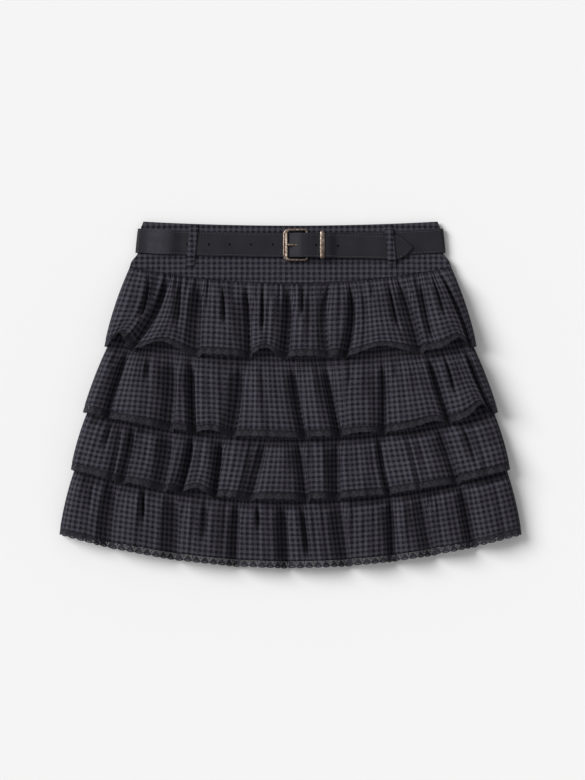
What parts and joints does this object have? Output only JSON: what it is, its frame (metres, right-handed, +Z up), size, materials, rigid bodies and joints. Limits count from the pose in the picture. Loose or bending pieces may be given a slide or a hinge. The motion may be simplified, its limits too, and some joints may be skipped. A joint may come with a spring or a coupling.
{
  "type": "tiered ruffle skirt",
  "caption": "Short tiered ruffle skirt in dark checked cloth, laid flat, with lace-edged gathered tiers, a shaped yoke with belt loops and its own buckled leather belt.",
  "frame": {"origin": "on the ground, under the middle of the laid skirt", "axes": "+X across the skirt to the wearer's left as it lies front up, +Y from the hem to the waist, +Z up from the ground out of the front"},
  "size_m": [0.554, 0.4146, 0.0274],
  "materials": {
    "check_cloth": "soft woven cloth in a small dark grey and black broken check",
    "base_cloth": "plain dark cloth",
    "lace": "black cotton lace edging with small scallops",
    "leather": "smooth black leather, stitched along its edges",
    "buckle_metal": "aged brushed nickel with a warm tone"
  },
  "bodies": {
    "root": {"tier_1_front": "check_cloth", "tier_2_front": "check_cloth", "tier_3_front": "check_cloth", "tier_4_front": "check_cloth", "tier_1_back": "check_cloth", "tier_2_back": "check_cloth", "tier_3_back": "check_cloth", "tier_4_back": "check_cloth", "yoke_front": "check_cloth", "yoke_back": "check_cloth", "belt_loop_front_left": "check_cloth", "belt_loop_front_right": "check_cloth", "belt_loop_back_left": "check_cloth", "belt_loop_back_centre": "check_cloth", "belt_loop_back_right": "check_cloth", "base_front": "base_cloth", "base_back": "base_cloth", "lace_1_front": "lace", "lace_1_back": "lace", "lace_2_front": "lace", "lace_2_back": "lace", "lace_3_front": "lace", "lace_3_back": "lace", "lace_4_front": "lace", "lace_4_back": "lace", "belt_strap": "leather", "buckle_frame": "buckle_metal", "buckle_prong": "buckle_metal", "belt_keeper": "buckle_metal"}
  },
  "joints": []
}
